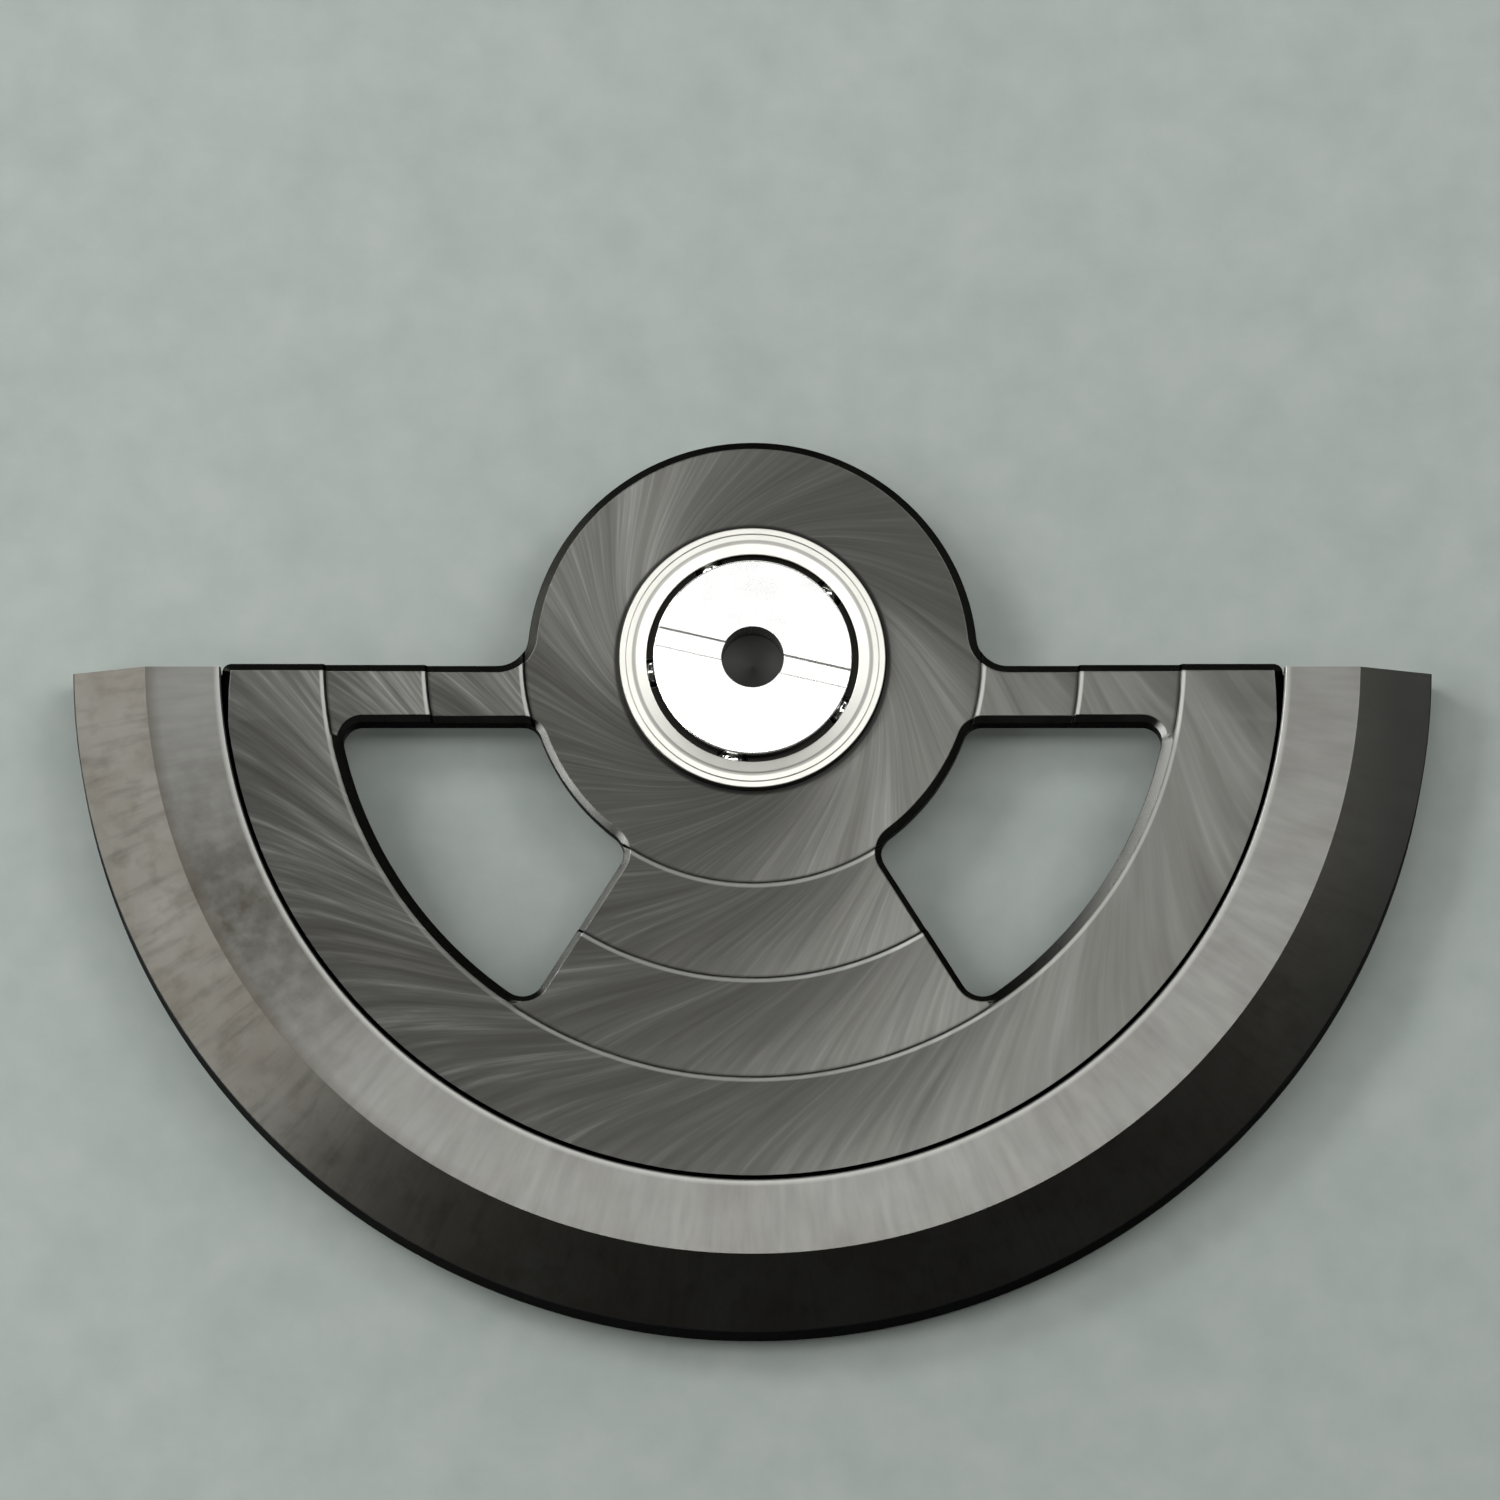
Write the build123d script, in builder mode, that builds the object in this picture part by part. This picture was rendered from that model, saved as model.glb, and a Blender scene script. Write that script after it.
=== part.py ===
from build123d import *
from math import cos, pi, radians, sin, sqrt
import os

# Automatic watch rotor on its ball bearing, in millimetres.
# The origin is on the bearing axis, at the face on which the bearing core seats on the movement.
# +Z points up, towards the display side, and the heavy half ring lies towards -Y.

# Heavy half ring: the rim that sets the overall size, from the outside inwards
weight_radius = 13.00
weight_bevel_width = 1.39
weight_bevel_drop = 0.65
weight_flat_width = 1.45
weight_ledge_width = 0.94
weight_end_y = -0.20
weight_top_rise = 0.03
weight_bottom_z = -0.65
weight_foot_bevel = 0.12
weight_lip_bevel = 0.08
joint_gap = 0.02

# Rotor plate: outline
plate_edge_y = -0.10
plate_corner_radius = 0.18
hub_width = 1.74
hub_arm_fillet = 0.60

# Rotor plate: two windows, with the arms above them and the spoke between them
window_margin = 0.18
arm_lower_y = -1.24
spoke_half_angle = 32.2
window_arm_corner = 0.36
window_hub_corner = 0.45
window_spoke_corner = 0.43

# Rotor plate: terraces, each one step_height above the terrace inside it
outer_band_width = 1.98
hub_step_margin = 0.04
middle_step_share = 0.49
step_height = 0.09
step_run = 0.05
plate_bottom_z = 0.35
hub_thickness = 0.45
plate_bevel = 0.13

# Ball bearing: balls, and the four cones that they run on
ball_count = 5
ball_radius = 0.275
ball_pitch_radius = 1.97
ball_plane_z = 0.57
first_ball_angle = 42.4
race_clearance = 0.015
cone_land = 0.02

# Ball bearing: outer ring and the cover ring that closes it
ring_bore_reach = 0.06
ring_wall = 0.15
ring_bottom_z = 0.05
ring_edge_bevel = 0.04
cover_seat_width = 0.04
cover_lip_width = 0.15
cover_lip_drop = 0.04
cover_land = 0.04
cage_groove_gap = 0.04
cage_groove_half_height = 0.08

# Ball bearing: core and the cone ring clamped on its neck
core_reach = 0.07
core_neck_depth = 0.295
core_neck_wall = 0.37
core_edge_bevel = 0.08
neck_setback = 0.03

# Ball cage: flat ring whose round pockets break through its inner edge
cage_outer_wall = 0.095
cage_inner_setback = 0.005
cage_half_thickness = 0.05
pocket_clearance = 0.03

# Captive screw
screw_head_thickness = 0.15
screw_head_bevel = 0.03
screw_slot_width = 0.36
screw_slot_depth = 0.09
screw_slot_angle = -13.0
screw_clearance = 0.03
screw_shoulder_width = 0.20
screw_tip_z = -0.60
screw_tip_bevel = 0.10
screw_hole_wall = 0.20
screw_hole_depth = 0.85

# Driving gear under the hub
gear_teeth = 54
gear_web_width = 0.40
gear_thickness = 0.22
addendum_share = 1.0
dedendum_share = 1.3
tooth_width_share = 0.46
tooth_tip_share = 0.40

# Overrun of every cutting shape past the faces that it cuts
overrun = 1.0

# The cones lie at 45 degrees, and each pair would meet in an apex this far from the balls' centres
apex_offset = (ball_radius + race_clearance) * sqrt(2)
inner_apex_radius = ball_pitch_radius - apex_offset
outer_apex_radius = ball_pitch_radius + apex_offset

# Radii of the bearing, counted from the circle of the balls' centres
cage_outer_radius = ball_pitch_radius + ball_radius + cage_outer_wall
cage_inner_radius = ball_pitch_radius - ball_radius + cage_inner_setback
cage_groove_radius = cage_outer_radius + cage_groove_gap
ring_bore_radius = ball_pitch_radius + ring_bore_reach
cover_radius = cage_groove_radius + cover_seat_width
cover_lip_radius = cover_radius - cover_lip_width
ring_radius = cover_radius + ring_wall
core_radius = ball_pitch_radius - core_reach
core_neck_radius = ball_pitch_radius - ball_radius - core_neck_depth
core_bore_radius = core_neck_radius - core_neck_wall
screw_shank_radius = core_bore_radius - screw_clearance
screw_thread_radius = screw_shank_radius - screw_shoulder_width
screw_hole_radius = screw_thread_radius - screw_hole_wall

# Heights of the bearing
inner_cone_height = core_radius - inner_apex_radius
outer_cone_height = outer_apex_radius - ring_bore_radius
race_top_z = ball_plane_z + inner_cone_height
cover_bottom_z = ball_plane_z + cage_groove_half_height
groove_bottom_z = ball_plane_z - cage_groove_half_height
ring_top_z = ball_plane_z + outer_cone_height + cover_land + cover_lip_drop
head_top_z = race_top_z + screw_head_thickness

# Radii of the weight, the plate and its terraces
weight_bevel_radius = weight_radius - weight_bevel_width
lip_radius = weight_bevel_radius - weight_flat_width
plate_radius = lip_radius - joint_gap
weight_inner_radius = plate_radius - weight_ledge_width
outer_step_radius = plate_radius - outer_band_width
window_outer_radius = outer_step_radius - window_margin
hub_radius = ring_radius + hub_width
hub_step_radius = hub_radius + hub_step_margin
middle_step_radius = hub_step_radius + middle_step_share * (outer_step_radius - hub_step_radius)

# Heights of the terraces and of the weight
hub_top_z = plate_bottom_z + hub_thickness
plate_top_z = hub_top_z + 3 * step_height
weight_top_z = plate_top_z + weight_top_rise


def half_chord(radius, offset):
    """Half the chord of a circle at this distance from its centre."""
    return sqrt(radius**2 - offset**2)


def polar(radius, angle):
    """Point of the XY plane at this radius and this angle in degrees from +X."""
    return (radius * cos(radians(angle)), radius * sin(radians(angle)))


def turned(profile):
    """Solid of revolution about Z of a closed outline of (radius, height) points."""
    with BuildPart() as blank:
        with BuildSketch(Plane.XZ):
            with BuildLine():
                Polyline(*profile, close=True)
            make_face()
        revolve(axis=Axis.Z)
    return blank.part


# Right-hand window: between hub and outer band, below the arm and beside the spoke
spoke_side_angle = -90 + spoke_half_angle
with BuildSketch(Plane.XY.offset(plate_bottom_z)) as window:
    with BuildLine():
        hub_at_arm = (half_chord(hub_radius, arm_lower_y), arm_lower_y)
        rim_at_arm = (half_chord(window_outer_radius, arm_lower_y), arm_lower_y)
        rim_at_spoke = polar(window_outer_radius, spoke_side_angle)
        hub_at_spoke = polar(hub_radius, spoke_side_angle)
        Line(hub_at_arm, rim_at_arm)
        RadiusArc(rim_at_arm, rim_at_spoke, window_outer_radius)
        Line(rim_at_spoke, hub_at_spoke)
        RadiusArc(hub_at_spoke, hub_at_arm, -hub_radius)
    make_face()
    fillet(window.vertices().sort_by(Axis.Y)[0], window_spoke_corner)
    fillet(window.vertices().group_by(Axis.Y)[-1], window_arm_corner)
    fillet(window.vertices().sort_by(Axis.X)[0], window_hub_corner)

# Outline of the plate: half disc and hub disc in one, less the two windows
with BuildSketch(Plane.XY.offset(plate_bottom_z)) as outline:
    with BuildLine():
        arm_reach = half_chord(plate_radius, plate_edge_y)
        root_reach = half_chord(hub_radius, plate_edge_y)
        Line((root_reach, plate_edge_y), (arm_reach, plate_edge_y))
        ThreePointArc((arm_reach, plate_edge_y), (0, -plate_radius), (-arm_reach, plate_edge_y))
        Line((-arm_reach, plate_edge_y), (-root_reach, plate_edge_y))
        ThreePointArc((-root_reach, plate_edge_y), (0, hub_radius), (root_reach, plate_edge_y))
    make_face()
    fillet(outline.vertices().sort_by_distance((0, 0, plate_bottom_z))[2:], plate_corner_radius)
    fillet(outline.vertices().sort_by_distance((0, 0, plate_bottom_z))[:2], hub_arm_fillet)
plate_face = outline.sketch - window.sketch - window.sketch.mirror(Plane.YZ)


def terrace(top_z, inner_radius, outer_radius):
    """Terrace of the plate between two radii, bevelled along the outline at its own height."""
    with BuildPart() as slab:
        extrude(plate_face, amount=top_z - plate_bottom_z)
        chamfer(slab.faces().sort_by(Axis.Z)[-1].edges(), plate_bevel)
        with BuildSketch(Plane.XZ):
            with BuildLine():
                Polyline(
                    (inner_radius, plate_bottom_z),
                    (outer_radius, plate_bottom_z),
                    (outer_radius, top_z),
                    (inner_radius + step_run, top_z),
                    (inner_radius, top_z - step_height),
                    close=True,
                )
            make_face()
        revolve(axis=Axis.Z, mode=Mode.INTERSECT)
    return slab.part


# Rotor plate: four terraces that rise outwards, and the bore for the bearing
bore_start = ring_radius - ring_edge_bevel - step_run
step_radii = (bore_start, hub_step_radius, middle_step_radius, outer_step_radius)
end_radii = step_radii[1:] + (plate_radius + overrun,)
with BuildPart() as rotor_plate:
    for level, (step_radius, end_radius) in enumerate(zip(step_radii, end_radii)):
        add(terrace(hub_top_z + level * step_height, step_radius, end_radius))
    with BuildSketch(Plane.XY.offset(plate_bottom_z)):
        Circle(ring_radius)
    extrude(amount=plate_top_z - plate_bottom_z, mode=Mode.SUBTRACT)

# Heavy half ring: bevelled rim, lip around the plate and ledge under its outer band
with BuildPart() as heavy_segment:
    bevel_foot_z = weight_top_z - weight_bevel_drop
    add(
        turned(
            [
                (weight_inner_radius, weight_bottom_z),
                (weight_radius - weight_foot_bevel, weight_bottom_z),
                (weight_radius, weight_bottom_z + weight_foot_bevel),
                (weight_radius, bevel_foot_z),
                (weight_bevel_radius, weight_top_z),
                (lip_radius + weight_lip_bevel, weight_top_z),
                (lip_radius, weight_top_z - weight_lip_bevel),
                (lip_radius, plate_bottom_z),
                (weight_inner_radius, plate_bottom_z),
            ]
        )
    )
    split(bisect_by=Plane.XZ.offset(-weight_end_y), keep=Keep.TOP)

# Bearing outer ring: lower outer cone, groove for the cage's rim and counterbore for the cover
with BuildPart() as bearing_outer_ring:
    add(
        turned(
            [
                (ring_bore_radius, ring_bottom_z),
                (ring_radius - ring_edge_bevel, ring_bottom_z),
                (ring_radius, ring_bottom_z + ring_edge_bevel),
                (ring_radius, ring_top_z - ring_edge_bevel),
                (ring_radius - ring_edge_bevel, ring_top_z),
                (cover_radius, ring_top_z),
                (cover_radius, cover_bottom_z),
                (cage_groove_radius, cover_bottom_z),
                (cage_groove_radius, groove_bottom_z),
                (outer_apex_radius - cage_groove_half_height, groove_bottom_z),
                (ring_bore_radius, ball_plane_z - outer_cone_height),
            ]
        )
    )

# Bearing cover ring: upper outer cone, with a shallow dished top
with BuildPart() as bearing_cover_ring:
    add(
        turned(
            [
                (outer_apex_radius - cage_groove_half_height, cover_bottom_z),
                (cover_radius, cover_bottom_z),
                (cover_radius, ring_top_z),
                (cover_lip_radius, ring_top_z),
                (ring_bore_radius, ring_top_z - cover_lip_drop),
                (ring_bore_radius, ball_plane_z + outer_cone_height),
            ]
        )
    )

# Bearing core: seat on the movement, lower inner cone, and neck for the cone ring
with BuildPart() as bearing_core:
    add(
        turned(
            [
                (core_bore_radius, 0),
                (core_radius - core_edge_bevel, 0),
                (core_radius, core_edge_bevel),
                (core_radius, ball_plane_z - inner_cone_height),
                (inner_apex_radius + cone_land, ball_plane_z - cone_land),
                (inner_apex_radius + cone_land, ball_plane_z),
                (core_neck_radius, ball_plane_z),
                (core_neck_radius, race_top_z - neck_setback),
                (core_bore_radius, race_top_z - neck_setback),
            ]
        )
    )

# Upper cone ring: the screw's head clamps it on the core's shoulder
with BuildPart() as upper_race_cone:
    add(
        turned(
            [
                (core_neck_radius, ball_plane_z),
                (inner_apex_radius + cone_land, ball_plane_z),
                (inner_apex_radius + cone_land, ball_plane_z + cone_land),
                (core_radius, race_top_z),
                (core_neck_radius, race_top_z),
            ]
        )
    )

# Ball cage: flat ring with a round pocket for each ball
with BuildPart() as ball_cage:
    with BuildSketch(Plane.XY.offset(ball_plane_z)):
        Circle(cage_outer_radius)
        Circle(cage_inner_radius, mode=Mode.SUBTRACT)
        with PolarLocations(ball_pitch_radius, ball_count, start_angle=first_ball_angle):
            Circle(ball_radius + pocket_clearance, mode=Mode.SUBTRACT)
    extrude(amount=cage_half_thickness, both=True)

# Captive screw: flat slotted head, plain shank in the core's bore and threaded end below the seat
with BuildPart() as rotor_screw:
    add(
        turned(
            [
                (0, screw_tip_z),
                (screw_thread_radius - screw_tip_bevel, screw_tip_z),
                (screw_thread_radius, screw_tip_z + screw_tip_bevel),
                (screw_thread_radius, 0),
                (screw_shank_radius, 0),
                (screw_shank_radius, race_top_z),
                (core_radius, race_top_z),
                (core_radius, head_top_z - screw_head_bevel),
                (core_radius - screw_head_bevel, head_top_z),
                (screw_hole_radius, head_top_z),
                (screw_hole_radius, head_top_z - screw_hole_depth),
                (0, head_top_z - screw_hole_depth),
            ]
        )
    )
    with BuildSketch(Plane.XY.offset(head_top_z)):
        Rectangle(2 * core_radius + overrun, screw_slot_width, rotation=screw_slot_angle)
    extrude(amount=-screw_slot_depth, mode=Mode.SUBTRACT)

# Driving gear: pressed on the outer ring from below, against the plate
pitch_radius = ring_radius + gear_web_width
gear_module = 2 * pitch_radius / gear_teeth
root_radius = pitch_radius - dedendum_share * gear_module
tip_radius = pitch_radius + addendum_share * gear_module
half_tooth = tooth_width_share * pi * gear_module / 2
half_tip = tooth_tip_share * half_tooth
with BuildSketch(Plane.XY.offset(plate_bottom_z)) as gear_face:
    with BuildLine():
        Polyline(
            (0, -half_tooth),
            (pitch_radius, -half_tooth),
            (tip_radius, -half_tip),
            (tip_radius, half_tip),
            (pitch_radius, half_tooth),
            (0, half_tooth),
            close=True,
        )
    tooth = make_face()
    with PolarLocations(0, gear_teeth):
        add(tooth)
    Circle(root_radius)
    Circle(ring_radius, mode=Mode.SUBTRACT)
with BuildPart() as drive_gear:
    extrude(gear_face.sketch, amount=-gear_thickness)

nodes = {
    "rotor_plate": rotor_plate.part,
    "heavy_segment": heavy_segment.part,
    "bearing_outer_ring": bearing_outer_ring.part,
    "bearing_cover_ring": bearing_cover_ring.part,
    "bearing_core": bearing_core.part,
    "upper_race_cone": upper_race_cone.part,
    "ball_cage": ball_cage.part,
    "rotor_screw": rotor_screw.part,
    "drive_gear": drive_gear.part,
}

# Balls, in the middle of the cage's pockets
for index in range(ball_count):
    ball_x, ball_y = polar(ball_pitch_radius, first_ball_angle + index * 360 / ball_count)
    with BuildPart() as ball:
        with Locations((ball_x, ball_y, ball_plane_z)):
            Sphere(ball_radius)
    nodes[f"ball_{index + 1}"] = ball.part

os.makedirs("parts", exist_ok=True)
for name, solid in nodes.items():
    solid.label = name
    export_step(solid, f"parts/{name}.step")
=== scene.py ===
import math

import bpy
import numpy as np
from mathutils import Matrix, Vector
from mathutils.geometry import delaunay_2d_cdt, tessellate_polygon


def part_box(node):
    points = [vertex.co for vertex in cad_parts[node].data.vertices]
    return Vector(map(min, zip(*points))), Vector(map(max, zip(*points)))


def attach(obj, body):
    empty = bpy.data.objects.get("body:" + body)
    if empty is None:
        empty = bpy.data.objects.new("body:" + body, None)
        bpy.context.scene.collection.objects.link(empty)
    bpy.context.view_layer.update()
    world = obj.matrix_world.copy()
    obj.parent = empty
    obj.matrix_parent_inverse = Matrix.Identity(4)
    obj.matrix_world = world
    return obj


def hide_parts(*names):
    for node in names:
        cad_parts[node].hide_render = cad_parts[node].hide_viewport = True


# Watch rotor, dressed. Sizes are in millimetres and angles in degrees until a mesh or a lamp is made.
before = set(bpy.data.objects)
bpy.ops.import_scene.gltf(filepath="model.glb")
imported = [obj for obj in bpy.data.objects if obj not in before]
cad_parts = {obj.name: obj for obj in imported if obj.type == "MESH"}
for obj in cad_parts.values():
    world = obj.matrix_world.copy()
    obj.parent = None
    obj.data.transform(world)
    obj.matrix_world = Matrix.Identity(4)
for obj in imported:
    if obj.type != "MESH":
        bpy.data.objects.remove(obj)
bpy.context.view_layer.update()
MM = 0.001


def cad_heights(node):
    """Heights of a node's top and underside, in millimetres."""
    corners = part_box(node)
    return round(corners[1].z / MM, 3), round(corners[0].z / MM, 3)


def cad_radius(node):
    """Largest radius of a node that reaches furthest towards -Y, in millimetres."""
    return round(-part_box(node)[0].y / MM, 2)


# Heavy half ring
weight_radius = cad_radius("heavy_segment")
weight_top_z, weight_bottom_z = cad_heights("heavy_segment")
weight_bevel_width, weight_bevel_drop = 1.39, 0.65
weight_flat_width = 1.45
weight_ledge_width = 0.94
weight_end_y = -0.20
weight_foot_bevel, weight_lip_bevel = 0.12, 0.04

# Rotor plate
plate_radius = cad_radius("rotor_plate")
plate_top_z, plate_bottom_z = cad_heights("rotor_plate")
plate_edge_y = -0.10
plate_corner_radius = 0.18
hub_arm_fillet = 0.60
plate_bevel, plate_back_bevel, plate_rim_bevel = 0.13, 0.17, 0.05
rim_bevel_start_y = -0.3
beside_start, beside_run = 0.90, 0.08
step_height, step_run = 0.09, 0.05
outer_band_width, window_margin, hub_step_margin = 1.98, 0.18, 0.04
middle_step_share = 0.49
arm_lower_y = -1.24
spoke_half_angle = 32.2
window_arm_corner, window_hub_corner, window_spoke_corner = 0.36, 0.45, 0.43

# Bearing
ring_radius = cad_radius("bearing_outer_ring")
ring_top_z, ring_bottom_z = cad_heights("bearing_outer_ring")
core_radius = cad_radius("bearing_core")
ball_radius = 0.275
ball_pitch_radius = 1.97
ball_plane_z = 0.57
race_clearance, cone_land = 0.015, 0.02
ring_bore_reach, ring_wall, ring_edge_bevel = 0.06, 0.15, 0.04
cover_lip_width, cover_lip_drop = 0.15, 0.04
groove_half_height, cage_groove_gap = 0.08, 0.04
core_neck_depth, core_neck_wall, core_edge_bevel, neck_setback = 0.295, 0.37, 0.08, 0.03
cage_inner_setback, pocket_clearance = 0.005, 0.03

# Screw
head_top_z, screw_tip_z = cad_heights("rotor_screw")
screw_clearance, screw_shoulder_width, screw_hole_wall = 0.03, 0.20, 0.20
screw_slot_width, screw_slot_depth, screw_slot_angle = 0.36, 0.09, -13.0
screw_hole_depth, screw_hole_cone, screw_head_bevel, screw_tip_bevel = 0.85, 0.12, 0.03, 0.10
slot_wall_draft, slot_overrun = 0.002, 0.2
thread_pitch, thread_depth = 0.20, 0.09

# Gear
gear_bottom_z = cad_heights("drive_gear")[1]
gear_teeth = 54
gear_web_width = 0.40
addendum_share, dedendum_share, tooth_width_share, tooth_tip_share = 1.0, 1.3, 0.46, 0.40

# Fineness of the meshes, the rounding that every worked edge carries, and small limits
arc_step = 0.12
edge_round = 0.018
round_steps = 4
tiny, merge_gap, least_spread = 0.001, 1e-6, 1e-9
least_up, least_radius = 0.05, 0.05
far_reach = 1.0
least_arc_steps, extra_circle_steps = 10, 24
ball_rows, ball_columns = 33, 49
thread_rows, thread_columns = 97, 129
head_bevel_shares = (0, 0.3, 0.65, 1)
most_of_side, same_wall, batch_size = 0.45, 0.8, 2000

# Sizes that follow from those above
bevel_radius = weight_radius - weight_bevel_width
lip_radius = bevel_radius - weight_flat_width
ledge_radius = plate_radius - weight_ledge_width
outer_step_radius = plate_radius - outer_band_width
window_radius = outer_step_radius - window_margin
hub_radius = round(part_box("rotor_plate")[1].y / MM, 2)
hub_step_radius = hub_radius + hub_step_margin
middle_step_radius = hub_step_radius + middle_step_share * (outer_step_radius - hub_step_radius)
hub_top_z = plate_top_z - 3 * step_height
joined_bevel = plate_bevel + step_height
apex_offset = (ball_radius + race_clearance) * math.sqrt(2)
inner_apex_radius = ball_pitch_radius - apex_offset
outer_apex_radius = ball_pitch_radius + apex_offset
ring_bore_radius = ball_pitch_radius + ring_bore_reach
cover_radius = ring_radius - ring_wall
core_neck_radius = ball_pitch_radius - ball_radius - core_neck_depth
core_bore_radius = core_neck_radius - core_neck_wall
shank_radius = core_bore_radius - screw_clearance
thread_radius = shank_radius - screw_shoulder_width
hole_radius = thread_radius - screw_hole_wall
race_top_z = ball_plane_z + core_radius - inner_apex_radius
groove_bottom_z, groove_top_z = ball_plane_z - groove_half_height, ball_plane_z + groove_half_height
cone_foot_radius, neck_top_z = inner_apex_radius + cone_land, race_top_z - neck_setback


def put_in_scene(name, data):
    """New object, linked to the scene."""
    made = bpy.data.objects.new(name, data)
    bpy.context.scene.collection.objects.link(made)
    return made


class Shell:
    """Mesh under construction, in millimetres, with a normal for each point."""

    def __init__(self):
        self.points, self.faces, self.normals = [], [], []

    def add(self, points, faces, normals):
        """Adds faces, each turned so that it looks the way its points' normals do."""
        points, normals, faces = np.array(points, float), np.array(normals, float), np.array(faces, int)
        corners = points[faces]
        facing = np.cross(corners[:, 1] - corners[:, 0], corners[:, -1] - corners[:, 0])
        turned = (facing * normals[faces].sum(axis=1)).sum(axis=1) < 0
        faces[turned] = faces[turned][:, ::-1]
        self.faces += (faces + len(self.points)).tolist()
        self.points += points.tolist()
        self.normals += unit(normals).tolist()

    def build(self, name):
        """The finished object, in metres."""
        mesh = bpy.data.meshes.new(name)
        mesh.from_pydata((np.array(self.points) * MM).tolist(), [], self.faces)
        mesh.polygons.foreach_set("use_smooth", [True] * len(mesh.polygons))
        mesh.normals_split_custom_set_from_vertices(self.normals)
        return put_in_scene(name, mesh)


def radii(points):
    """Distance of each point from the axis."""
    return np.linalg.norm(points[:, :2], axis=1)


def unit(vectors):
    """The vectors, brought to length 1."""
    return vectors / np.linalg.norm(vectors, axis=1, keepdims=True)


def around(radius, angles):
    """Points at a radius about the axis, one for each angle."""
    return radius * np.stack([np.cos(angles), np.sin(angles)], axis=1)


def face_middles(piece):
    """Middle of each face of a piece, in millimetres."""
    return np.array([face.center for face in piece.data.polygons]) / MM


def give_second_material(piece, chosen):
    """Gives the chosen faces the second material."""
    piece.data.polygons.foreach_set("material_index", chosen.astype(np.int32))


def softened(corners, radius=edge_round, closed=True):
    """Points and outward normals along a rounded outline; the material is on its left."""
    corners = np.asarray(corners, float)
    count = len(corners)
    points, normals = [], []
    for index in range(count):
        here = corners[index]
        before, after = here - corners[index - 1], corners[(index + 1) % count] - here
        if not closed and index in (0, count - 1):
            along = after if index == 0 else before
            points.append(here)
            normals.append((along[1], -along[0]))
            continue
        reach_before, reach_after = np.linalg.norm(before), np.linalg.norm(after)
        before, after = before / reach_before, after / reach_after
        turn = math.acos(np.clip(before @ after, -1, 1))
        reach = min(radius * math.tan(turn / 2), most_of_side * reach_before, most_of_side * reach_after)
        first, last = here - reach * before, here + reach * after
        for share in np.linspace(0, 1, round_steps + 1):
            points.append((1 - share) ** 2 * first + 2 * share * (1 - share) * here + share**2 * last)
            along = (1 - share) * before + share * after
            normals.append((along[1], -along[0]))
    return np.array(points), unit(np.array(normals))


def slope(corners, rounding):
    """Points and leans of a rounded line: its corners run from far to near, its points back again."""
    profile, up = softened(corners, rounding, closed=False)
    profile, up = profile[::-1], up[::-1]
    up = up * np.sign(up[:, 1].sum())
    return profile, up[:, 0] / np.maximum(up[:, 1], least_up)


def distances(profile):
    """Distances of a profile's points, in order and without repeats."""
    return sorted(set(np.round(profile[:, 0], 5)))


def grid_faces(rows, columns):
    """Faces of a grid that is stored row by row."""
    corner = (np.arange(rows - 1)[:, None] * columns + np.arange(columns - 1)[None, :]).reshape(-1)
    return np.stack([corner, corner + 1, corner + columns + 1, corner + columns], axis=1)


def level_top(height):
    """Heights and normals of a flat top."""

    def surface(flat):
        return np.full(len(flat), height), np.tile((0, 0, 1.0), (len(flat), 1))

    return surface


def full_turn(radius):
    """First and last angle of a whole turn."""
    return 0.0, 2 * math.pi


def lathe(shell, corners, ends=full_turn, segments=256, radius=edge_round, closed=True):
    """Turned surface from (radius, height) corners; the material is on their left."""
    outline, outward = softened(corners, radius, closed)
    shares = np.linspace(0, 1, segments + 1)
    points, normals = [], []
    for (r, z), (nr, nz) in zip(outline, outward):
        first, last = ends(r)
        angles = first + shares * (last - first)
        points.append(np.column_stack([around(r, angles), np.full_like(angles, z)]))
        normals.append(np.column_stack([around(nr, angles), np.full_like(angles, nz)]))
    rows = len(outline)
    row = np.arange(rows if closed else rows - 1)[:, None] * (segments + 1)
    column = np.arange(segments)[None, :]
    total = rows * (segments + 1)
    here, above = row + column, (row + segments + 1) % total + column
    quads = np.stack([here, here + 1, above + 1, above], axis=2).reshape(-1, 4)
    shell.add(np.concatenate(points), quads, np.concatenate(normals))
    return outline


def turned_piece(name, *corners):
    """Piece turned all round from one outline."""
    shell = Shell()
    lathe(shell, corners)
    return shell.build(name)


def arc_loop(*arcs):
    """Closed loop of arcs (centre x and y, radius, first and last angle), joined by straight lines."""
    points = []
    for x, y, radius, first, last in arcs:
        count = max(least_arc_steps, int(abs(last - first) * radius / arc_step))
        angles = np.linspace(first, last, count + 1)
        points.append((x, y) + around(radius, angles))
    loop = np.concatenate(points)
    apart = np.linalg.norm(loop - np.roll(loop, 1, axis=0), axis=1) > tiny
    return loop[apart]


def circle(radius, step=arc_step):
    """Circle about the axis, as a loop of points."""
    count = int(2 * math.pi * radius / step) + extra_circle_steps
    angles = np.linspace(0, 2 * math.pi, count, endpoint=False)
    return around(radius, angles)


def loop_normals(loop):
    """Unit normals on the right of a closed loop."""
    along = np.roll(loop, -1, axis=0) - np.roll(loop, 1, axis=0)
    return unit(np.stack([along[:, 1], -along[:, 0]], axis=1))


def inside(points, loop):
    """For each point, whether it lies inside a closed loop."""
    ends = np.roll(loop, -1, axis=0)
    found = np.zeros(len(points), bool)
    for (x0, y0), (x1, y1) in zip(loop, ends):
        spans = (y0 > points[:, 1]) != (y1 > points[:, 1])
        if spans.any():
            crossing = x0 + (points[:, 1] - y0) * (x1 - x0) / (y1 - y0 if y1 != y0 else 1)
            found ^= spans & (points[:, 0] < crossing)
    return found


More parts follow.
